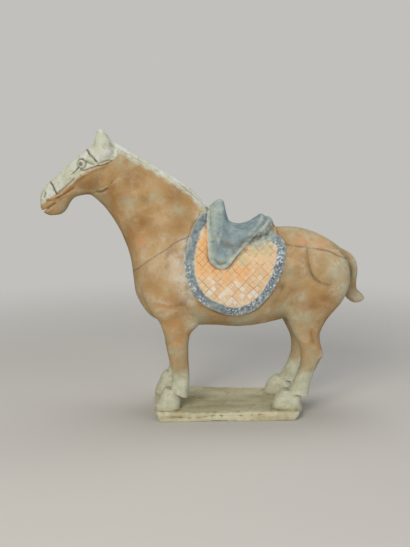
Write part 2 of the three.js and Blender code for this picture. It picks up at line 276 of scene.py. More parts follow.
# Strokes on both sides of the horse: a line of the side view, half width, height, fade at each end
SIDE_STROKES = {
    "cheek ridge": ([(-136, 302), (-146.7, 297.4), (-155, 294), (-163, 289.6), (-170, 285.4),
                     (-174.6, 281.8), (-179.6, 276.8), (-184, 273.4), (-188.2, 269.8), (-193.6, 265.4),
                     (-199, 262.8), (-207, 258.4)], 2.2, 1.9, 0.08),
    "groove over cheek ridge": ([(-174.6, 285), (-177.7, 282.9), (-180.3, 280.3), (-184.5, 276.7),
                                 (-188.7, 273), (-192.1, 270.4), (-195.5, 268),
                                 (-199, 265.8)], 1.1, -1.3, 0.15),
    "groove under cheek ridge": ([(-176, 273.2), (-178.7, 271.6), (-182.1, 269.6), (-186.3, 266.7),
                                  (-190.5, 264.2), (-194.7, 261.8), (-199.6, 259.6)], 1.0, -1.1, 0.15),
    "wrinkle": ([(-185.7, 263.6), (-189, 261.6), (-193.2, 258.8), (-196, 256.6)], 0.9, -0.7, 0.3),
    "brow": ([(-172, 306.2), (-167.5, 308), (-162.6, 307), (-157.7, 305.2), (-152.8, 303)], 1.5, 1.5, 0.15),
    "hollow under brow": ([(-164.6, 305), (-161.1, 302.6), (-156.2, 300.6), (-151.3, 299.5)], 1.1, -1.4,
                          0.2),
    "eye rim": ([(-170.4, 294.8), (-172.4, 298.6), (-172.6, 302.4), (-170.9, 305.4), (-167.4, 306.2),
                 (-164.4, 304.4)], 0.9, -1.2, 0.1),
    "eye socket": ([(-171, 294.6), (-167, 293.4), (-162.9, 293.8), (-157.9, 295.7), (-153, 297.3),
                    (-149.7, 298.4), (-146, 299.6)], 1.1, -1.5, 0.12),
    "tear line": ([(-171.9, 297.5), (-174.1, 294.2), (-177, 290.9), (-179.6, 288.8)], 1.0, -1.1, 0.15),
    "browband": ([(-162, 318), (-160.7, 315), (-159.2, 312.6), (-157, 310.5), (-153.7, 308),
                  (-152.2, 305.6), (-150.6, 302)], 1.2, -1.3, 0.05),
    "groove over poll strap": ([(-151.4, 301), (-148.1, 301.4), (-143.9, 302.6), (-139, 304),
                                (-133, 305.4)],
                               0.9, -1.2, 0.15),
    "groove under poll strap": ([(-150, 297.2), (-145, 298.2), (-140, 299.9), (-135, 301.2)], 0.9, -0.9,
                                0.2),
    "noseband": ([(-208.5, 281.4), (-205.8, 278.8), (-202.2, 275), (-200.5, 270.6), (-198.6, 266.8)],
                 0.9, -0.7, 0),
    "nostril": ([(-213.2, 260.4), (-213.4, 263), (-212.3, 265.9), (-210.6, 266.6)], 1.3, -2.2, 0.15),
    "nostril rim": ([(-211.4, 258.8), (-209, 261.6), (-208.4, 265), (-209.8, 268.6), (-213.4, 269.6)],
                    1.3, 1.0, 0.25),
    "upper lip edge": ([(-212.4, 258), (-206.6, 257.9), (-201.6, 258.4)], 0.9, -0.7, 0.3),
    "mouth corner": ([(-214, 245.6), (-210.4, 247.5), (-206.2, 250.5), (-202, 253.4), (-198.6, 255.4)],
                     1.1, -1.8, 0.1),
    "upper lip": ([(-216.4, 250), (-211, 252.4), (-206, 255.2), (-201.6, 257)], 1.9, 1.0, 0.25),
    "lower lip": ([(-212.6, 243.4), (-207.4, 246), (-202.6, 249.6)], 1.5, 0.9, 0.25),
    "chin": ([(-207, 241), (-201, 242.6), (-196, 245.6)], 3.0, 0.5, 0.3),
    "jaw groove": ([(-156, 267.4), (-150.4, 267.2), (-146, 268.2), (-142.6, 270), (-139, 272.2),
                    (-135.4, 274)],
                   1.3, -1.9, 0.25),
    "jaw rim": ([(-150, 270), (-145.6, 271), (-141, 273.4), (-137, 275.6)], 1.5, 1.1, 0.25),
    "jaw rear edge": ([(-136, 275.6), (-133.8, 281), (-133.4, 287), (-134, 293)], 2.2, -0.5, 0.3),
    "masseter": ([(-150.2, 283), (-149.9, 277.6), (-148.9, 272.6)], 1.4, -0.4, 0.3),
    "shoulder ridge": ([(-60, 236), (-74, 216), (-81, 198), (-84.5, 180), (-86, 162)], 8, 1.0, 0.3),
    "shoulder hollow": ([(-56, 214), (-68, 198), (-71, 176), (-73, 156)], 7, -0.9, 0.3),
    "forearm crease": ([(-92, 141), (-80, 138.6), (-64, 138), (-48, 140.6)], 3.4, -1.0, 0.3),
    "elbow": ([(-44, 146), (-41, 136), (-42, 126)], 4.5, 0.8, 0.3),
    "flank fold": ([(48, 130), (55, 142), (62, 156), (66, 172)], 5, -1.3, 0.3),
    "haunch hollow": ([(91.8, 204), (92.6, 194), (94.9, 181), (99.6, 171), (107, 165), (118, 163.4),
                       (122, 171)], 3.6, -0.9, 0.2),
    "haunch swell": ([(112, 196), (124, 180), (126, 160), (118, 140)], 12, 1.2, 0.3),
    "hock hollow": ([(97, 112), (100, 98), (104, 86)], 3.6, -1.1, 0.3),
    "hock point": ([(112, 84), (112, 76), (109, 70)], 3.6, 0.8, 0.3),
    "knee": ([(-70, 92), (-69, 84), (-67, 76)], 4, 0.7, 0.3),
    "hind tendon": ([(104, 62), (99, 50), (95, 42)], 2.2, -0.7, 0.3),
    "fore tendon": ([(-51, 66), (-51, 54), (-52, 44)], 2.2, -0.6, 0.3),
    "pommel crease": ([(-7.4, 248), (-8, 238), (-9, 229), (-10, 220), (-10.8, 210)], 3.2, -1.5, 0.35),
    "pommel ridge": ([(-15.6, 246), (-15.8, 234), (-16.6, 222), (-17.4, 210)], 2.6, 0.7, 0.3),
    "saddle rim": ([(51, 238), (48.4, 233.6), (45, 229.9), (40.4, 226.6), (35.4, 222.6), (29.6, 218),
                    (23.6, 212.4), (17.6, 206), (12, 200.4), (7, 195.6), (1.6, 190), (-3, 186.6),
                    (-8.6, 185), (-14.6, 187.6), (-19.4, 193.6)], 1.9, 1.3, 0.03),
    "seat groove": ([(46, 237), (42.6, 232.4), (37, 228.4), (29, 222.6)], 1.8, -0.4, 0.25),
    "flap hollow": ([(26, 223), (17, 212), (8, 202), (-2, 194)], 6.5, -1.0, 0.3),
    "first pad stroke": ([(32.6, 215), (36, 219.5), (39, 222.6)], 0.9, -0.5, 0.2),
    "second pad stroke": ([(34, 212.2), (37.7, 216.2), (42, 222.6)], 0.9, -0.7, 0.2),
    "third pad stroke": ([(37, 213.6), (41, 217.8), (45, 221)], 0.8, -0.4, 0.2),
    "tail groove": ([(147, 184), (152, 172), (151.6, 158), (153, 146)], 1.8, -0.6, 0.2),
    "slab crack": ([(-84, 4), (-61, 6), (-39.4, 4.6), (-14.1, 7.4), (0.3, 6.6), (29.2, 7.6), (52.7, 8.6)],
                   0.9, -0.6, 0.1),
}

# The cheek stands proud of the throat along this line
JAW_CREASE = [(-182, 268.4), (-176.7, 270.6), (-172, 270), (-162, 269.2), (-154.6, 268.6), (-148.8, 268),
              (-142.8, 269.7), (-138.3, 273), (-134.6, 277)]
JAW_STEP = -0.9

# Saddle tree as painted, seen from the side
SADDLE_PAINT = [(-19, 262), (-21.4, 246), (-22.6, 215), (-10, 200), (10, 204), (24, 214), (40, 227),
                (50, 236),
                (56, 230), (59, 225), (64, 232), (60, 262)]

# White slip over the face above the cheek ridge and over the ears, and its strip along the mane
FACE_OUTLINE = [
    [-126, 316], [-131, 306.2], [-141, 302], [-151, 298.2], [-160, 293.5], [-170, 286.5], [-177, 280.6],
    [-188, 272.5], [-197, 266.5], [-208, 260], [-222, 250], [-240, 262], [-225, 300], [-180, 345],
    [-120, 350],
]
CREST_LINE = [(-134, 326), (-121, 320), (-99.5, 307.5), (-75, 292.5), (-50, 277.5), (-34, 263), (-23, 250)]
CREST_REACH = 7.0

# Thin dark lines drawn on the horse: the straps of its harness and the lines round its eye. The lower
# half of the ring round the eye is painted shade under the eyeball
DARK_LINES = {
    "breast_strap": [(-45.9, 218.2), (-62, 210.2), (-70, 204.6), (-80, 198.7), (-93.7, 189.5),
                     (-104, 180.8),
                     (-112, 174)],
    "crupper": [(64, 209), (77.7, 206.1), (91.8, 204.7), (110, 201.4), (120.2, 198.8), (130.7, 193.6),
                (141, 189.6)],
    "crupper_hanger": [(91.8, 204.7), (92.6, 194.4), (94.9, 181.4), (99, 172.2), (106, 166)],
    "browband": [(-166, 320), (-161, 314.8), (-158.5, 310.8), (-155, 307.8), (-152.4, 305.3),
                 (-150.3, 303.1)],
    "poll_strap": [(-150, 298.4), (-143.6, 299.4), (-137.7, 301.2), (-132.5, 304.6)],
    "noseband": [(-210, 284), (-205.8, 278.8), (-202.2, 275), (-200.5, 270.6), (-198, 266.2)],
    "tear_line": [(-171.6, 296.5), (-174.6, 292.6), (-180, 288.5)],
    # The ring round the eye: its upper half a drawn line, its lower half painted shade under the eyeball
    "eye_ring_and_shade": [(-172.1, 297.2), (-172.5, 301), (-171.4, 304.6), (-168, 305.8), (-165, 304.3),
                 (-162.4, 301.4),
                 (-163.3, 297.8), (-166.9, 295.2), (-170.1, 295.8)],
}

# Width in millimetres and strength of each drawn line
LINE_PAINT = {
    "breast_strap": (1.8, 0.5), "crupper": (2.0, 0.5), "crupper_hanger": (3.0, 0.4),
    "browband": (2.0, 0.8), "poll_strap": (1.3, 0.8), "noseband": (2.2, 0.8), "tear_line": (1.3, 0.7),
    "eye_ring_and_shade": (1.3, 0.75),
}

# Side of a ruled square of the cloth and the share of it by which the ruling is shifted, and the width
# of the cloth's band and the clay's grit, in millimetres. The grit is drawn coarser than the real half
# millimetre, so that it shows
LATTICE = 11.8
LATTICE_SHIFT = (-0.51, 0, 0.36)
BAND_WIDTH = 11.0
GRIT = 1.6

# Soft round stains, rubbed places and strokes of pigment seen from the side: x, z, radius. Some are
# painted shade: brown spots under the jaw and throat, and dark spots along the saddle's pommel crease
# and in its flap's hollow
TINTS = {
    "browned_and_shaded": [(-110, 284, 15), (-95, 263, 8), (-64, 265, 9), (-118, 262, 12), (-160, 278, 16),
                (75.4, 155.3, 6),
                (118, 171, 6), (113, 144, 9), (98, 138, 8), (-58, 136, 16), (-130, 268, 14),
                # The last two spots, under the jaw and throat, are painted shade
                (-100, 236, 12), (-148, 262, 10), (-164, 262, 9)],
    "paled": [(-72, 196, 20), (-60, 176, 22), (112, 210, 18), (-96, 200, 14), (72, 190, 12),
              (-74, 240, 12)],
    "greyed": [(130, 178, 18), (121, 190, 9), (136, 158, 12), (75, 122, 13), (79, 106, 10), (92, 122, 8),
               (78, 224, 14), (96, 224, 10), (-113.7, 257, 7), (-82.4, 262.5, 6), (-56.5, 248, 7),
               (-186, 250, 11),
               (-172, 257, 12), (-152, 259, 10), (156, 184, 14), (158, 168, 24), (162, 144, 22),
               (64, 134, 16), (76, 172, 11), (82, 148, 8), (20, 112, 22),
               (-124, 308, 10), (-112, 301, 8), (-34, 120, 14), (-20, 232, 9)],
    "ruddy": [(86, 213, 10), (109, 206, 7), (-64, 73, 8), (-61, 92, 7), (-62, 116, 7), (93.7, 77, 8),
              (-70, 140, 8), (-100, 214, 10), (-186, 272, 8)],
    "oranged": [(-29, 208, 12), (-29, 194, 12), (-29, 182, 9), (9, 176, 12), (0, 172, 9), (-16, 180, 8),
                (20, 182, 8)],
    "whitened": [(-14, 154, 15), (6, 150, 17), (22, 152, 17), (36, 160, 14), (12, 163, 10), (-21, 163, 8)],
    "scratched": [(58, 190, 14), (57, 178, 16), (52, 165, 16), (42, 150, 14), (28, 137, 12), (8, 131, 14),
                  (58, 204, 10), (-46, 182, 8), (-42, 162, 9), (-30, 146, 8)],
    "navy": [(4, 129, 15), (60, 184, 9), (54, 168, 10), (46, 157, 9), (38, 148, 8), (25, 138, 10),
             (-27, 156, 7), (-35, 146, 7)],
    "haloed": [(-52, 192, 14), (-52, 172, 13), (-45, 152, 10), (-46, 212, 9), (-30, 240, 7)],
    "saged": [(70, 202, 7), (72, 190, 8), (17.4, 191.6, 6), (14, 199, 5), (44, 204, 9), (30, 204, 7)],
    "greened": [(-19, 244, 8), (-20, 230, 7), (-21, 214, 7), (-20, 200, 6), (-8, 186, 7), (4, 192, 6)],
    # Painted shade in the saddle's pommel crease and flap hollow, as darker slate
    "crease_shade": [(-7, 240, 5), (-8, 226, 5), (-10, 212, 7), (-6, 202, 10), (6, 216, 9), (20, 226, 8)],
}

# Pigment of each stain of the fired clay and how much of it there is at the middle of a stain. The
# brown one is also painted shade under the jaw and throat
STAINS = {"browned_and_shaded": ("#8a6438", 0.7), "paled": ("#cbb18c", 0.75), "greyed": ("#adaa8d", 0.8),
          "ruddy": ("#c48d5c", 0.6), "haloed": ("#d3d0c2", 0.8)}


def smooth_rows(table, steps):
    """All rows of a table with smooth rows added between them."""
    rows = np.array(table, float)
    last = len(rows) - 1
    made = []
    for i in range(last):
        before, here, there, after = (rows[j] for j in (max(i - 1, 0), i, i + 1, min(i + 2, last)))
        rise, fall, step = (there - before) / 2, (after - here) / 2, there - here
        for t in np.arange(steps) / steps:
            made.append(here + t * (rise + t * (3 * step - 2 * rise - fall + t * (rise + fall - 2 * step))))
    made.append(rows[last])
    return np.array(made)


def smooth_outline(points, steps):
    """A closed outline through the points, with the same smooth steps between them."""
    wrapped = points[-1:] + points + points[:2]
    return smooth_rows(wrapped, steps)[steps:-1 - steps]


def superellipse(sides, square):
    """Shares of the reach along and across a rounded oval."""
    angle = np.linspace(0, 2 * np.pi, sides, endpoint=False)
    power = 2 / square
    along = np.sign(np.cos(angle)) * np.abs(np.cos(angle)) ** power
    across = np.sign(np.sin(angle)) * np.abs(np.sin(angle)) ** power
    return along, across


def oval_rings(front, back, y, half, narrowing, sides, square):
    """Rings of points between two edges of the side view, narrower towards the front edge."""
    along, across = superellipse(sides, square)
    centre = (front + back) / 2
    reach = (front - back) / 2
    rings = np.empty((len(front), sides, 3))
    rings[:, :, 0] = centre[:, :1] + reach[:, :1] * along
    rings[:, :, 2] = centre[:, 1:] + reach[:, 1:] * along
    rings[:, :, 1] = y[:, None] + half[:, None] * across * (1 - narrowing[:, None] * along)
    return rings


def clay_form(name, rings):
    """A closed form through rings of equal point counts, with a fan over each end."""
    count, sides = rings.shape[:2]
    points = np.vstack([rings.reshape(-1, 3), rings[0].mean(0), rings[-1].mean(0)])
    first, final = count * sides, count * sides + 1
    faces = []
    for r in range(count - 1):
        for i in range(sides):
            a, b = r * sides + i, r * sides + (i + 1) % sides
            faces.append((a, b, b + sides, a + sides))
    for i in range(sides):
        j = (i + 1) % sides
        faces.append((first, j, i))
        faces.append((final, (count - 1) * sides + i, (count - 1) * sides + j))
    return form_object(name, points, faces)


def form_object(name, points, faces):
    """An object from points in millimetres, its faces turned outwards."""
    mesh = bpy.data.meshes.new(name)
    mesh.from_pydata((points * MM).tolist(), [], faces)
    work = bmesh.new()
    work.from_mesh(mesh)
    bmesh.ops.recalc_face_normals(work, faces=work.faces)
    work.to_mesh(mesh)
    work.free()
    made = bpy.data.objects.new(name, mesh)
    bpy.context.scene.collection.objects.link(made)
    return made


def settle(form):
    """Applies a form's modifiers to its mesh."""
    seen = form.evaluated_get(bpy.context.evaluated_depsgraph_get())
    form.data = bpy.data.meshes.new_from_object(seen)
    form.modifiers.clear()
    return form


def cut(form, tool, operation):
    """The form cut by, or kept only inside, another, which is used up."""
    knife = form.modifiers.new("cut", "BOOLEAN")
    knife.operation = operation
    knife.solver = "EXACT"
    knife.object = tool
    bpy.context.view_layer.update()
    settle(form)
    bpy.data.objects.remove(tool)
    return form


def loft(name, table, half, inward=None, narrowing=None, sides=48, steps=8, square=2.2,
         margin=0.0, shift=(0.0, 0.0), line=0.0, side=1):
    """A form along a table of paired outline points. half, inward and narrowing are columns of the
    table, margin grows it outwards, and line and side give its mid plane: inward is measured off it."""
    rows = smooth_rows(table, steps)
    front, back = rows[:, 0:2] + shift, rows[:, 2:4] + shift
    out = (front - back) / np.linalg.norm(front - back, axis=1)[:, None] * margin
    none = np.zeros(len(rows))
    off = none if inward is None else rows[:, inward]
    narrow = none if narrowing is None else rows[:, narrowing]
    rings = oval_rings(front + out, back - out, side * (line - off), rows[:, half] + margin,
                       narrow, sides, square)
    return clay_form(name, rings)


def trunk(margin):
    return loft("trunk", TRUNK, half=4, narrowing=5, sides=96, margin=margin)


def side_block(outline):
    """A side-view outline carried through the whole width of the horse."""
    count = len(outline)
    points = np.empty((2 * count, 3))
    points[:, [0, 2]] = np.vstack([outline, outline])
    points[:count, 1] = -HALF_REACH
    points[count:, 1] = HALF_REACH
    faces = [tuple(range(count)), tuple(range(count, 2 * count))]
    faces += [(i, (i + 1) % count, count + (i + 1) % count, count + i) for i in range(count)]
    return form_object("side_block", points, faces)


def cover(outline, thickness):
    """A skin of clay laid over the trunk inside a side outline."""
    return cut(trunk(thickness), side_block(smooth_outline(outline, 8)), "INTERSECT")


def legs():
    made = []
    for side in (-1, 1):
        far = side > 0
        fore_shift = (FAR_FORE_SHIFT if far else 0, 0)
        hind_shift = (FAR_HIND_SHIFT if far else 0, 0)
        hoof_shift = (FAR_HOOF_SHIFT if far else 0, FAR_HOOF_RAISE if far else 0)
        fore = {"half": 5, "inward": 4, "line": FORE_SPREAD, "side": side}
        hind = {"half": 5, "inward": 4, "line": HIND_SPREAD, "side": side}
        made.append(loft("foreleg", FORELEG, square=2.5, shift=fore_shift, **fore))
        made.append(loft("hind_leg", HIND_LEG, square=2.5, shift=hind_shift, **hind))
        made.append(loft("fore_hoof", FORE_HOOF, square=2.8, shift=hoof_shift, **fore))
        made.append(loft("hind_hoof", HIND_HOOF, square=2.8, shift=hind_shift, **hind))
    return made


def ear(side):
    """One ear, a leaf of clay hollowed on its outer side."""
    def leaf(shrink, lift, out):
        rows = [[x1 + shrink, z1 + lift, x2 - shrink, z2 + lift, half - shrink * 0.4, lean + out]
                for x1, z1, x2, z2, half, lean in EAR]
        return loft("ear", rows, half=4, inward=5, sides=32, line=EAR_SPREAD, side=side)
    return cut(leaf(0, 0, 0), leaf(SCOOP_SHRINK, SCOOP_LIFT, SCOOP_OUT), "DIFFERENCE")


def slab():
    """The base slab with round corners and a worn, sloping edge."""
    edge = smooth_rows(SLAB_EDGE, 2)
    rings = []
    for height, inset_x, inset_y in edge:
        ring = []
        for i, (x, y) in enumerate(SLAB_CORNERS):
            centre_x = x - math.copysign(SLAB_RADIUS, x)
            centre_y = y - math.copysign(SLAB_RADIUS, y)
            for k in range(9):
                angle = math.pi * (1 + i / 2 + k / 16)
                ring.append((centre_x + (SLAB_RADIUS - inset_x) * math.cos(angle),
                             centre_y + (SLAB_RADIUS - inset_y) * math.sin(angle), height))
        rings.append(ring)
    return clay_form("slab", np.array(rings))


def weld(forms, voxel):
    """All forms joined into one skin of even, small faces."""
    points, faces, offset = [], [], 0
    for form in forms:
        mesh = form.data
        place = np.empty(len(mesh.vertices) * 3)
        mesh.vertices.foreach_get("co", place)
        points.append(place.reshape(-1, 3) / MM)
        faces += [tuple(offset + v for v in face.vertices) for face in mesh.polygons]
        offset += len(mesh.vertices)
        bpy.data.objects.remove(form)
    whole = form_object("horse", np.vstack(points), faces)
    remesh = whole.modifiers.new("weld", "REMESH")
    remesh.mode = "VOXEL"
    remesh.voxel_size = voxel * MM
    bpy.context.view_layer.update()
    return settle(whole)


def egg(name, at, size, tilt, side):
    """An egg-shaped boss on one cheek, tilted about y in degrees."""
    angle = np.linspace(0, np.pi, 19)[1:-1]
    ring = np.linspace(0, 2 * np.pi, 24, endpoint=False)
    rings = np.empty((len(angle), len(ring), 3))
    rings[:, :, 0] = size[0] * np.outer(np.sin(angle), np.cos(ring))
    rings[:, :, 1] = size[1] * np.outer(np.sin(angle), np.sin(ring))
    rings[:, :, 2] = size[2] * np.cos(angle)[:, None]
    turn = math.radians(tilt)
    x = rings[:, :, 0] * math.cos(turn) + rings[:, :, 2] * math.sin(turn)
    z = rings[:, :, 2] * math.cos(turn) - rings[:, :, 0] * math.sin(turn)
    placed = np.stack([x + at[0], rings[:, :, 1] + side * at[1], z + at[2]], 2)
    return clay_form(name, placed)


def head():
    """The head with its eyeballs, its mouth cut as a wedge through the muzzle."""
    made = loft("head", HEAD, half=4, square=2.4, sides=64)
    lip_x, lip_z = MOUTH_LIP
    wedge = np.array([MOUTH_CORNER, (lip_x, lip_z + MOUTH_GAP), (lip_x, lip_z - MOUTH_GAP)])
    return cut(made, side_block(wedge), "DIFFERENCE")


def vectors(items, name, count):
    values = np.empty(count * 3, np.float32)
    items.foreach_get(name, values)
    return values.reshape(-1, 3).astype(float)


def ease(values, low, high):
    """A smooth step from 0 at low to 1 at high."""
    t = np.clip((values - low) / (high - low), 0, 1)
    return t * t * (3 - 2 * t)


class Skin:
    """The clay's skin as arrays in millimetres, with the pairs of points that its edges join."""

    def __init__(self, mesh):
        self.mesh = mesh
        self.count = len(mesh.vertices)
        pairs = np.empty(len(mesh.edges) * 2, np.int32)
        mesh.edges.foreach_get("vertices", pairs)
        self.starts = np.concatenate([pairs[0::2], pairs[1::2]])
        self.ends = np.concatenate([pairs[1::2], pairs[0::2]])
        self.valence = np.bincount(self.ends, minlength=self.count)
        self.points = vectors(mesh.vertices, "co", self.count) / MM

    def write(self):
        self.mesh.vertices.foreach_set("co", (self.points * MM).astype(np.float32).ravel())
        self.mesh.update()

    def normals(self):
        self.write()
        return vectors(self.mesh.vertex_normals, "vector", self.count)

    def average(self, values):
        """Each point's neighbours' mean of some values."""
        columns = values.reshape(self.count, -1)
        sums = [np.bincount(self.ends, column[self.starts], self.count) for column in columns.T]
        return (np.stack(sums, 1) / self.valence[:, None]).reshape(values.shape)

    def smooth(self, passes, share):
        for _ in range(passes):
            self.points += share * (self.average(self.points) - self.points)

    def fill(self, where, passes):
        """Fills creases where a weight allows it, and takes nothing off what stands out."""
        for i in range(passes):
            if i % 8 == 0:
                normals = self.normals()
            lift = ((self.average(self.points) - self.points) * normals).sum(1)
            self.points += (where * np.maximum(lift, 0) * 0.9)[:, None] * normals
            if i % 8 == 7:
                self.points += 0.3 * where[:, None] * (self.average(self.points) - self.points)

    def roundness(self, passes):
        """How far each point stands out of its surroundings, in millimetres, evened out a little."""
        normals = self.normals()
        level = self.points
        for _ in range(passes):
            level = self.average(level)
        return self.average(((self.points - level) * normals).sum(1))


def near(points, spots):
    """Weight of the closest of several soft balls: x, distance from the middle plane, z, radius."""
    mirrored = np.abs(points) * (0, 1, 0) + points * (1, 0, 1)
    weight = np.zeros(len(points))
    for x, y, z, radius in spots:
        distance = np.linalg.norm(mirrored - (x, y, z), axis=1)
        weight = np.maximum(weight, 1 - ease(distance, radius * 0.5, radius))
    return weight


def line_distance(side, line, reach, steps=5):
    """Signed distance to a smooth line of the side view and the share of the way along it, for points
    within reach of it. Elsewhere the distance is the reach."""
    curve = smooth_rows(line, steps)
    low, high = curve.min(0) - reach, curve.max(0) + reach
    chosen = np.nonzero(((side > low) & (side < high)).all(1))[0]
    here = side[chosen]
    best = np.full(len(here), float(reach))
    signed = best.copy()
    along = np.zeros(len(here))
    lengths = np.hypot(*np.diff(curve, axis=0).T)
    for i, (start, way) in enumerate(zip(curve[:-1], np.diff(curve, axis=0))):
        off = here - start
        t = np.clip(off @ way / (way @ way), 0, 1)
        distance = np.hypot(off[:, 0] - t * way[0], off[:, 1] - t * way[1])
        closer = distance < best
        best[closer] = distance[closer]
        turned = np.sign(way[0] * off[:, 1] - way[1] * off[:, 0])
        signed[closer] = (distance * turned)[closer]
        along[closer] = ((lengths[:i].sum() + t * lengths[i]) / lengths.sum())[closer]
    distances, shares = np.full(len(side), float(reach)), np.zeros(len(side))
    distances[chosen], shares[chosen] = signed, along
    return distances, shares


def depth_inside(side, outline):
    """Distance in from a closed outline of the side view, negative outside it."""
    inside = np.zeros(len(side), bool)
    best = np.full(len(side), np.inf)
    for start, end in zip(outline, np.roll(outline, -1, 0)):
        way = end - start
        off = side - start
        t = np.clip(off @ way / (way @ way), 0, 1)
        best = np.minimum(best, np.hypot(off[:, 0] - t * way[0], off[:, 1] - t * way[1]))
        if start[1] != end[1]:
            crosses = (side[:, 1] < start[1]) != (side[:, 1] < end[1])
            level = start[0] + (side[:, 1] - start[1]) * way[0] / way[1]
            inside ^= crosses & (side[:, 0] < level)
    return np.where(inside, best, -best)


def lumps(points, size, seed):
    """Seeded smooth unevenness, about -1 to 1, with swells of that size in millimetres."""
    random = np.random.default_rng(seed)
    total = np.zeros(len(points))
    for _ in range(9):
        way = random.normal(size=3)
        way *= random.uniform(0.7, 1.4) / np.linalg.norm(way)
        bend = np.sin(points @ random.normal(size=3) / size * 1.1) * 0.8
        total += np.cos(points @ way * 2 * np.pi / size + random.uniform(0, 2 * np.pi) + bend)
    return total / 4.5


def stroke(side, line, width, height, fade=0.12):
    """Height of a soft ridge or groove along a line of the side view, fading at both ends."""
    distance, along = line_distance(side, line, reach=4 * width)
    ends = ease(along, 0, fade) * ease(1 - along, 0, fade) if fade else 1
    return height * np.exp(-(distance / width) ** 2) * ends


def model_horse():
    """The welded and carved skin of the whole horse, as one object."""
    forms = [trunk(0), loft("mane", MANE, half=4, square=2.6, sides=24), loft("tail", TAIL, half=4)]
    forms += legs() + [ear(-1), ear(1), slab(), head()]
    for side in (-1, 1):
        forms.append(egg("eyeball", EYE_AT, EYE_SIZE, EYE_TILT, side))
        forms.append(egg("poll", POLL_AT, POLL_SIZE, POLL_TILT, side))
    forms.append(loft("saddle", SADDLE, half=4, narrowing=5, square=2, sides=64))
    forms.append(cover(FLAP_OUTLINE, FLAP_THICKNESS))
    forms.append(cover(PAD_OUTLINE, PAD_THICKNESS))
    forms.append(cover(CLOTH_OUTLINE, CLOTH_THICKNESS))
    made = weld(forms, WELD)
    made.name = "painted_horse"
    skin = Skin(made.data)
    skin.smooth(2, 0.5)
    skin.fill(near(skin.points, FILLED_JOINS), 60)
    carve(skin)
    skin.smooth(1, 0.4)
    skin.write()
    return made


def carve(skin):
    """Presses the carving into the skin and raises its ridges, along the skin's own directions."""
    normals = skin.normals()
    side = skin.points[:, [0, 2]]
    x, y, z = skin.points.T
    sideways = ease(np.abs(normals[:, 1]), 0.25, 0.6)
    height = np.zeros(skin.count)
    for line, width, rise, fade in SIDE_STROKES.values():
        height += stroke(side, line, width, rise, fade) * sideways
    jaw, _ = line_distance(side, JAW_CREASE, reach=16)
    step = JAW_STEP * np.tanh(jaw / 1.6) * np.exp(-(jaw / 8) ** 2)
    height += np.where(np.abs(jaw) < 16, step, 0) * sideways
    shaped = z > SLAB_THICKNESS + 3
    height += np.where(shaped, 0.3 * lumps(skin.points, 34, 1) + 0.14 * lumps(skin.points, 13, 2), 0)
    rough = ease(SLAB_THICKNESS + 4 - z, 0, 4)
    rim = ease(np.maximum(np.abs(x) - 74, np.abs(y) - 40), 0, 9)
    height += rough * (0.5 + rim) * (0.6 * lumps(skin.points, 30, 3) + 0.3 * lumps(skin.points, 10, 4))
    height += 0.05 * lumps(skin.points, 4.5, 5)
    skin.points += height[:, None] * normals
    skin.points[:, 2] = np.maximum(skin.points[:, 2], 0)


def paint_lines(skin, mesh):
    """Distances in millimetres that the paint follows, kept on the skin's points."""
    side = skin.points[:, [0, 2]]
    cloth = depth_inside(side, smooth_outline(CLOTH_OUTLINE, 6))
    flap = depth_inside(side, smooth_outline(FLAP_OUTLINE, 6))
    pad = depth_inside(side, smooth_outline(PAD_OUTLINE, 6))
    tree = depth_inside(side, np.array(SADDLE_PAINT, float))
    measures = {
        "cloth_depth": cloth,
        "saddle_depth": np.maximum(flap, tree),
        "pad_depth": pad,
        "face_depth": depth_inside(side, smooth_outline(FACE_OUTLINE, 4)),
        "crest_depth": CREST_REACH - np.abs(line_distance(side, CREST_LINE, reach=30)[0]),
        "eye_distance": np.hypot(*(side - PUPIL).T),
        "roundness": skin.roundness(3),
    }
    for name, line in DARK_LINES.items():
        measures[name] = line_distance(side, line, reach=30)[0]
    for name, spots in TINTS.items():
        measures[name] = soft_spots(side, spots)
    for name, values in measures.items():
        mesh.attributes.new(name, "FLOAT", "POINT").data.foreach_set("value", values.astype(np.float32))


def soft_spots(side, spots):
    """Weight of soft round spots of the side view: x, z and radius."""
    weight = np.zeros(len(side))
    for x, z, radius in spots:
        weight = np.maximum(weight, np.exp(-((side[:, 0] - x) ** 2 + (side[:, 1] - z) ** 2) / radius ** 2))
    return weight


def linear(colour):
    """An sRGB hex value as linear red, green, blue and full opacity."""
    parts = [int(colour[i:i + 2], 16) / 255 for i in (1, 3, 5)]
    return [p / 12.92 if p <= 0.04045 else ((p + 0.055) / 1.055) ** 2.4 for p in parts] + [1.0]


def add(tree, kind, inputs=None, output=0, **settings):
    """Adds a shader node with its settings and returns one of its outputs. Each input is a value, an
    sRGB hex value or another node's output."""
    made = tree.nodes.new("ShaderNode" + kind)
    for name, value in settings.items():
        setattr(made, name, value)
    for socket, value in (inputs or {}).items():
        if isinstance(value, bpy.types.NodeSocket):
            tree.links.new(value, made.inputs[socket])
        else:
            made.inputs[socket].default_value = linear(value) if isinstance(value, str) else value
    return made.outputs[output]


# Settings and sockets of a mix of two colours
COLOURS = {"data_type": "RGBA", "output": 2}
SHARE, UNDER, OVER = 0, 6, 7


def mottle(tree, place, size, low, high, detail=4.0):
    """Share from 0 to 1 of a colour that lies in blotches of a size in millimetres. Low and high are
    where in the noise, from 0 to 1, the blotches begin and are full."""
    noise = add(tree, "TexNoise", {"Vector": place, "Scale": 1 / (size * MM), "Detail": detail})
    return add(tree, "MapRange", {"Value": noise, "From Min": low, "From Max": high})


def measured(tree, name):
    """A measure in millimetres, or a weight, that the skin's points carry."""
    return add(tree, "Attribute", output="Fac", attribute_name=name)


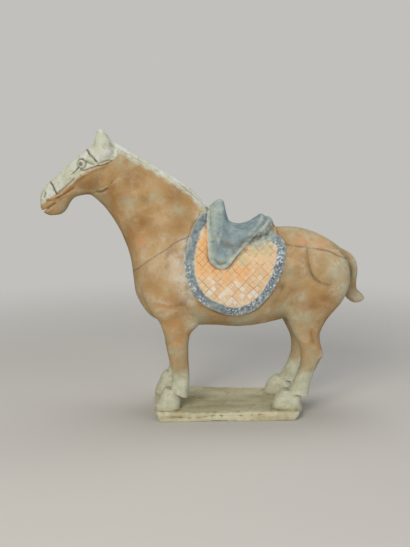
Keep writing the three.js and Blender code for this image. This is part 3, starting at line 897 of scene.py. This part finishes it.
def within(tree, place, depth, fade, rag, size):
    """Share of a paint that covers where depth is positive. Its edge fades over some millimetres, and
    blotches of a size push it in and out by the rag."""
    noise = add(tree, "TexNoise", {"Vector": place, "Scale": 1 / (size * MM), "Detail": 3.0})
    push = add(tree, "MapRange", {"Value": noise, "From Min": 0.25, "From Max": 0.75,
                                  "To Min": -rag, "To Max": rag})
    moved = add(tree, "Math", {0: depth, 1: push}, operation="ADD")
    return add(tree, "MapRange", {"Value": moved, "From Min": -fade, "From Max": fade})


def times(tree, first, second):
    return add(tree, "Math", {0: first, 1: second}, operation="MULTIPLY")


def fired_clay(tree, place, height):
    """Low-fired earthenware, press-moulded and left unglazed: a warm dull tan, cloudy, stained brown and
    rubbed pale in places, darkened brown under the jaw and throat as painted shade, grey-green from the
    burial soil towards the feet, and sandy on the slab."""
    colour = add(tree, "Mix", {SHARE: mottle(tree, place, 50, 0.35, 0.65), UNDER: "#a27e4f",
                               OVER: "#b99a6d"}, **COLOURS)
    soil = times(tree, mottle(tree, place, 24, 0.48, 0.7), 0.45)
    colour = add(tree, "Mix", {SHARE: soil, UNDER: colour, OVER: "#a39c7c"}, **COLOURS)
    rubbed = times(tree, mottle(tree, place, 13, 0.5, 0.75), 0.45)
    colour = add(tree, "Mix", {SHARE: rubbed, UNDER: colour, OVER: "#c7ad85"}, **COLOURS)
    # The brown stain is also painted shade under the jaw and throat
    for name, (pigment, share) in STAINS.items():
        stain = times(tree, measured(tree, name), mottle(tree, place, 12, 0.25, 0.55))
        colour = add(tree, "Mix", {SHARE: times(tree, stain, share), UNDER: colour, OVER: pigment},
                     **COLOURS)
    grime = within(tree, place, add(tree, "MapRange", {"Value": height, "From Min": 0.12, "From Max": 0.03,
                                                       "To Min": -34.0, "To Max": 34.0}), 22.0, 20.0, 16)
    colour = add(tree, "Mix", {SHARE: times(tree, grime, 0.75), UNDER: colour, OVER: "#a4a389"}, **COLOURS)
    feet = within(tree, place, add(tree, "MapRange", {"Value": height, "From Min": 0.066, "From Max": 0.044,
                                                      "To Min": -10.0, "To Max": 10.0}), 5.0, 4.0, 7)
    earth = add(tree, "Mix", {SHARE: mottle(tree, place, 8, 0.35, 0.65), UNDER: "#b3b69e",
                              OVER: "#c8cab4"}, **COLOURS)
    colour = add(tree, "Mix", {SHARE: times(tree, feet, 0.9), UNDER: colour, OVER: earth}, **COLOURS)
    along = add(tree, "Mapping", {"Vector": place, "Scale": (0.35, 1, 1)})
    sand = add(tree, "Mix", {SHARE: mottle(tree, along, 15, 0.38, 0.62), UNDER: "#b5af8e",
                             OVER: "#cbc8aa"}, **COLOURS)
    ochre = times(tree, mottle(tree, along, 9, 0.55, 0.72), 0.4)
    sand = add(tree, "Mix", {SHARE: ochre, UNDER: sand, OVER: "#bda57a"}, **COLOURS)
    on_slab = add(tree, "MapRange", {"Value": height, "From Min": 0.0145, "From Max": 0.0115})
    colour = add(tree, "Mix", {SHARE: on_slab, UNDER: colour, OVER: sand}, **COLOURS)
    specks = times(tree, mottle(tree, place, 1.9, 0.56, 0.7, 2.0), 0.3)
    return add(tree, "Mix", {SHARE: specks, UNDER: colour, OVER: "#7d6a48"}, **COLOURS)


def white_slip(tree, place, under):
    """Thin kaolin slip brushed over the face and along the mane: chalky, bluish where thick, buff where
    rubbed."""
    face = within(tree, place, measured(tree, "face_depth"), 1.0, 1.4, 5)
    crest = within(tree, place, measured(tree, "crest_depth"), 2.4, 2.0, 7)
    slip = add(tree, "Mix", {SHARE: mottle(tree, place, 9, 0.35, 0.65), UNDER: "#c2c8b2",
                             OVER: "#d3d9d3"}, **COLOURS)
    slip = add(tree, "Mix", {SHARE: times(tree, mottle(tree, place, 5, 0.55, 0.72), 0.6), UNDER: slip,
                             OVER: "#a6a384"}, **COLOURS)
    cover = add(tree, "Math", {0: face, 1: crest}, operation="MAXIMUM")
    return add(tree, "Mix", {SHARE: times(tree, cover, 0.92), UNDER: under, OVER: slip}, **COLOURS)


def lattice_cloth(tree, place, under):
    """The saddlecloth in earth pigments: orange rubbed down to peach, ruled slantwise in squares that are
    ruled again more faintly at their halves, some of them filled white, inside a band of dark slate
    paint scratched white. The ruling is drawn by hand, so it wanders and breaks off."""
    depth = measured(tree, "cloth_depth")
    wander = add(tree, "TexNoise", {"Vector": place, "Scale": 1 / (12 * MM), "Detail": 1.0}, output="Color")
    wander = add(tree, "VectorMath", {0: wander, 1: (0.5, 0.5, 0.5)}, operation="SUBTRACT")
    wander = add(tree, "VectorMath", {0: wander, "Scale": 3 * MM}, operation="SCALE")
    drawn_at = add(tree, "VectorMath", {0: place, 1: wander}, operation="ADD")
    turned = add(tree, "Mapping", {"Vector": drawn_at, "Rotation": (0, math.radians(45), 0),
                                   "Location": LATTICE_SHIFT,
                                   "Scale": (2 / (LATTICE * MM), 0, 2 / (LATTICE * MM))})
    cell = add(tree, "VectorMath", {0: turned}, operation="FLOOR")
    chance = add(tree, "TexWhiteNoise", {"Vector": cell})
    field = add(tree, "Mix", {SHARE: mottle(tree, place, 9, 0.35, 0.65), UNDER: "#dfba90",
                              OVER: "#e6cba6"}, **COLOURS)
    bright = within(tree, place, add(tree, "MapRange", {"Value": measured(tree, "oranged"), "To Min": -5.0,
                                                        "To Max": 5.0}), 3.0, 3.2, 5)
    field = add(tree, "Mix", {SHARE: times(tree, bright, 0.85), UNDER: field, OVER: "#e9b47b"}, **COLOURS)
    salmon = times(tree, mottle(tree, place, 4.5, 0.58, 0.7), 0.5)
    field = add(tree, "Mix", {SHARE: salmon, UNDER: field, OVER: "#e3a184"}, **COLOURS)
    sage = times(tree, mottle(tree, place, 6, 0.55, 0.7), 0.45)
    sage = add(tree, "Math", {0: sage, 1: times(tree, measured(tree, "saged"), 0.8)}, operation="MAXIMUM")
    field = add(tree, "Mix", {SHARE: sage, UNDER: field, OVER: "#bdbe98"}, **COLOURS)
    filled = add(tree, "MapRange", {"Value": chance, "From Min": 0.42, "From Max": 0.36})
    filled = times(tree, times(tree, filled, measured(tree, "whitened")), mottle(tree, place, 3, 0.3, 0.5))
    field = add(tree, "Mix", {SHARE: times(tree, filled, 0.95), UNDER: field, OVER: "#e6e0d0"}, **COLOURS)
    apart = add(tree, "SeparateXYZ", {"Vector": turned}).node
    from_x = add(tree, "Math", {0: apart.outputs["X"], 1: 1.0}, operation="PINGPONG")
    from_z = add(tree, "Math", {0: apart.outputs["Z"], 1: 1.0}, operation="PINGPONG")
    nearest = add(tree, "Math", {0: from_x, 1: from_z}, operation="MINIMUM")
    farthest = add(tree, "Math", {0: from_x, 1: from_z}, operation="MAXIMUM")
    whole = times(tree, add(tree, "MapRange", {"Value": nearest, "From Min": 0.12, "From Max": 0.05}), 0.6)
    half = times(tree, add(tree, "MapRange", {"Value": farthest, "From Min": 0.9, "From Max": 0.97}), 0.35)
    ruled = add(tree, "Math", {0: whole, 1: half}, operation="MAXIMUM")
    ruled = times(tree, ruled, mottle(tree, place, 8, 0.34, 0.58))
    field = add(tree, "Mix", {SHARE: ruled, UNDER: field, OVER: "#8f7350"}, **COLOURS)
    band = add(tree, "Mix", {SHARE: mottle(tree, place, 4.5, 0.35, 0.65), UNDER: "#62727a",
                             OVER: "#919e9f"}, **COLOURS)
    navy = times(tree, measured(tree, "navy"), mottle(tree, place, 5, 0.35, 0.6))
    band = add(tree, "Mix", {SHARE: times(tree, navy, 0.85), UNDER: band, OVER: "#475166"}, **COLOURS)
    flaked = times(tree, mottle(tree, place, 2.6, 0.5, 0.62, 6.0), measured(tree, "scratched"))
    band = add(tree, "Mix", {SHARE: times(tree, flaked, 0.9), UNDER: band, OVER: "#d3dbe0"}, **COLOURS)
    inner = add(tree, "Math", {0: depth, 1: BAND_WIDTH}, operation="SUBTRACT")
    colour = add(tree, "Mix", {SHARE: within(tree, place, inner, 0.7, 1.5, 4), UNDER: band,
                               OVER: field}, **COLOURS)
    seam = add(tree, "MapRange", {"Value": add(tree, "Math", {0: inner}, operation="ABSOLUTE"),
                                  "From Min": 1.8, "From Max": 0.4})
    seam = times(tree, times(tree, seam, mottle(tree, place, 5, 0.4, 0.6)), 0.7)
    colour = add(tree, "Mix", {SHARE: seam, UNDER: colour, OVER: "#d9d2ba"}, **COLOURS)
    return add(tree, "Mix", {SHARE: within(tree, place, depth, 0.6, 1.1, 4), UNDER: under,
                             OVER: colour}, **COLOURS)


def slate_saddle(tree, place, under):
    """The saddle in a cool slate pigment over white ground: cloudy, darker and bluish along the pommel's
    crease and in the flap's hollow as painted shade, paler and greener where the ground grins through on
    rims and the pommel's front, and rubbed off the pad."""
    depth = measured(tree, "saddle_depth")
    slate = add(tree, "Mix", {SHARE: mottle(tree, place, 9, 0.35, 0.65), UNDER: "#74868c",
                              OVER: "#98a8a8"}, **COLOURS)
    # Painted shade: darker bluish slate along the pommel's crease and in the flap's hollow
    deep = times(tree, measured(tree, "crease_shade"), mottle(tree, place, 6, 0.3, 0.6))
    slate = add(tree, "Mix", {SHARE: times(tree, deep, 0.45), UNDER: slate, OVER: "#637682"}, **COLOURS)
    slate = add(tree, "Mix", {SHARE: times(tree, mottle(tree, place, 3, 0.52, 0.68), 0.45), UNDER: slate,
                              OVER: "#a6b2aa"}, **COLOURS)
    green = times(tree, measured(tree, "greened"), mottle(tree, place, 5, 0.25, 0.55))
    slate = add(tree, "Mix", {SHARE: times(tree, green, 0.8), UNDER: slate, OVER: "#b0bba9"}, **COLOURS)
    rim = add(tree, "MapRange", {"Value": depth, "From Min": 5.0, "From Max": 1.0})
    rim = times(tree, rim, mottle(tree, place, 5, 0.35, 0.6))
    slate = add(tree, "Mix", {SHARE: times(tree, rim, 0.7), UNDER: slate, OVER: "#b3bcb0"}, **COLOURS)
    pad = within(tree, place, add(tree, "Math", {0: measured(tree, "pad_depth"), 1: 4.0},
                                  operation="SUBTRACT"),
                 3.0, 3.0, 5)
    worn = add(tree, "Mix", {SHARE: mottle(tree, place, 4, 0.4, 0.6), UNDER: "#7f8d8f",
                             OVER: "#b4bcae"}, **COLOURS)
    under = add(tree, "Mix", {SHARE: times(tree, pad, 0.9), UNDER: under, OVER: worn}, **COLOURS)
    return add(tree, "Mix", {SHARE: within(tree, place, depth, 0.5, 0.6, 4), UNDER: under,
                             OVER: slate}, **COLOURS)


def drawn_lines(tree, place, under):
    """Harness and the ring round the eye drawn with a thin brush of black-brown pigment, worn through in
    places. The ring's lower half is painted shade under the eyeball.
    """
    colour = under
    for name, (width, strength) in LINE_PAINT.items():
        off = add(tree, "Math", {0: measured(tree, name)}, operation="ABSOLUTE")
        depth = add(tree, "Math", {0: width / 2, 1: off}, operation="SUBTRACT")
        line = times(tree, within(tree, place, depth, 0.35, 0.35, 3), mottle(tree, place, 9, 0.2, 0.5))
        colour = add(tree, "Mix", {SHARE: times(tree, line, strength), UNDER: colour, OVER: "#55524a"},
                     **COLOURS)
    return colour


def painted_eye(tree, place, under):
    """White eyeball and a worn grey pupil, drawn with the same brush."""
    off = measured(tree, "eye_distance")
    ball = add(tree, "MapRange", {"Value": off, "From Min": 6.0, "From Max": 5.0})
    colour = add(tree, "Mix", {SHARE: times(tree, ball, 0.7), UNDER: under, OVER: "#a9ab98"}, **COLOURS)
    ring = add(tree, "Math", {0: off, 1: 3.7}, operation="SUBTRACT")
    ring = add(tree, "Math", {0: ring}, operation="ABSOLUTE")
    ring = add(tree, "MapRange", {"Value": ring, "From Min": 0.9, "From Max": 0.4})
    colour = add(tree, "Mix", {SHARE: times(tree, ring, 0.85), UNDER: colour, OVER: "#cbcdbb"}, **COLOURS)
    pupil = add(tree, "MapRange", {"Value": off, "From Min": 2.7, "From Max": 1.9})
    return add(tree, "Mix", {SHARE: times(tree, pupil, 0.85), UNDER: colour, OVER: "#5c635b"}, **COLOURS)


def painted_terracotta():
    """Unglazed earthenware with cold-painted pigments: matt, with a grain of fine grit, the hollows
    darkened brown as soil and painted shade, and the clay rubbed lighter on what stands out."""
    material = bpy.data.materials.new("painted_terracotta")
    material.use_nodes = True
    tree = material.node_tree
    place = add(tree, "TexCoord", output="Object")
    height = add(tree, "SeparateXYZ", {"Vector": place}, output="Z")
    colour = fired_clay(tree, place, height)
    colour = white_slip(tree, place, colour)
    colour = lattice_cloth(tree, place, colour)
    colour = slate_saddle(tree, place, colour)
    colour = drawn_lines(tree, place, colour)
    colour = painted_eye(tree, place, colour)
    round_off = measured(tree, "roundness")
    # Soil and painted shade: dark brown in the hollows, stronger the more hollow the skin is
    hollow = add(tree, "MapRange", {"Value": round_off, "From Min": -0.02, "From Max": -0.22})
    colour = add(tree, "Mix", {SHARE: times(tree, hollow, 0.6), UNDER: colour, OVER: "#5f5138"}, **COLOURS)
    rubbed = add(tree, "MapRange", {"Value": round_off, "From Min": 0.08, "From Max": 0.3})
    rubbed = times(tree, rubbed, mottle(tree, place, 4, 0.3, 0.6))
    colour = add(tree, "Mix", {SHARE: times(tree, rubbed, 0.45), UNDER: colour, OVER: "#d3d2c0"}, **COLOURS)
    grit = add(tree, "TexNoise", {"Vector": place, "Scale": 1 / (GRIT * MM), "Detail": 5.0})
    bump = add(tree, "Bump", {"Height": grit, "Strength": 0.5, "Distance": 0.5 * MM})
    shader = tree.nodes["Principled BSDF"]
    tree.links.new(colour, shader.inputs["Base Color"])
    tree.links.new(bump, shader.inputs["Normal"])
    shader.inputs["Roughness"].default_value = 0.92
    shader.inputs["Specular IOR Level"].default_value = 0.25
    return material


def thin_out(form):
    """Fewer, larger triangles where the skin is plain. The head keeps all of its own."""
    plain = form.vertex_groups.new(name="plain")
    points = vectors(form.data.vertices, "co", len(form.data.vertices)) / MM
    on_head = (points[:, 0] < HEAD_REAR) & (points[:, 2] > HEAD_FLOOR)
    plain.add(np.nonzero(~on_head)[0].tolist(), 1.0, "REPLACE")
    sparse = form.modifiers.new("thin_out", "DECIMATE")
    sparse.vertex_group = plain.name
    sparse.ratio = TRIANGLES_KEPT / (2 * len(form.data.polygons))
    sparse.use_collapse_triangulate = True
    return settle(form)


def camera():
    """The photograph's view, as measured from the slab and the horse's height."""
    heading, dip = math.radians(CAMERA_HEADING), math.radians(CAMERA_DIP)
    look = Vector((math.sin(heading) * math.cos(dip), math.cos(heading) * math.cos(dip), -math.sin(dip)))
    data = bpy.data.cameras.new("camera")
    data.sensor_width = SENSOR
    data.lens = VIEW_LENGTH * SENSOR / PICTURE_HEIGHT
    made = bpy.data.objects.new("camera", data)
    made.location = Vector(CAMERA_AT) * MM
    made.rotation_mode = "QUATERNION"
    made.rotation_quaternion = look.to_track_quat("-Z", "Y")
    bpy.context.scene.collection.objects.link(made)
    bpy.context.scene.camera = made


def soft_light(name, at, size, energy, colour):
    """A square soft box turned to the middle of the horse."""
    data = bpy.data.lights.new(name, "AREA")
    data.size = size
    data.energy = energy
    data.color = linear(colour)[:3]
    made = bpy.data.objects.new(name, data)
    made.location = at
    made.rotation_mode = "QUATERNION"
    made.rotation_quaternion = (Vector((0, 0, 0.17)) - Vector(at)).to_track_quat("-Z", "Y")
    bpy.context.scene.collection.objects.link(made)


def studio():
    """A pale floor under plain soft light, which melts into a background of the same paleness."""
    material = bpy.data.materials.new("pale_floor")
    material.use_nodes = True
    tree = material.node_tree
    shader = tree.nodes["Principled BSDF"]
    shader.inputs["Base Color"].default_value = linear(FLOOR)
    shader.inputs["Roughness"].default_value = 0.9
    away = add(tree, "VectorMath", {0: add(tree, "TexCoord", output="Object")}, output="Value",
               operation="LENGTH")
    gone = add(tree, "MapRange", {"Value": away, "From Min": 0.3, "From Max": 0.95},
               interpolation_type="SMOOTHSTEP")
    melted = add(tree, "MixShader", {0: gone, 1: shader.outputs[0], 2: add(tree, "BsdfTransparent")})
    tree.links.new(melted, tree.nodes["Material Output"].inputs["Surface"])
    mesh = bpy.data.meshes.new("floor")
    reach = 1.6
    corners = [(-reach, -reach, 0), (reach, -reach, 0), (reach, reach, 0), (-reach, reach, 0)]
    mesh.from_pydata(corners, [], [(0, 1, 2, 3)])
    mesh.materials.append(material)
    floor = bpy.data.objects.new("floor", mesh)
    bpy.context.scene.collection.objects.link(floor)
    soft_light("key", (-0.6, -1.45, 0.95), 0.9, 20, "#fff8ee")
    soft_light("fill", (1.2, -1.1, 0.5), 1.2, 6, "#f2f5ff")
    soft_light("top", (0.1, 0.3, 1.5), 1.0, 8, "#ffffff")
    world = bpy.data.worlds.new("studio")
    world.use_nodes = True
    tree = world.node_tree
    dim = tree.nodes["Background"].outputs[0]
    tree.nodes["Background"].inputs["Color"].default_value = linear("#d9dadb")
    tree.nodes["Background"].inputs["Strength"].default_value = 0.3
    plain = add(tree, "Background", {"Color": BACKDROP})
    seen = add(tree, "LightPath", output="Is Camera Ray")
    both = add(tree, "MixShader", {0: seen, 1: dim, 2: plain})
    tree.links.new(both, tree.nodes["World Output"].inputs["Surface"])
    bpy.context.scene.world = world
    bpy.context.scene.view_settings.view_transform = "Standard"


camera()
horse = model_horse()
thin_out(horse)
skin = Skin(horse.data)
paint_lines(skin, horse.data)
horse.data.materials.clear()
horse.data.materials.append(painted_terracotta())
horse.data.shade_smooth()
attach(horse, "root")
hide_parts(SOLID)
studio()
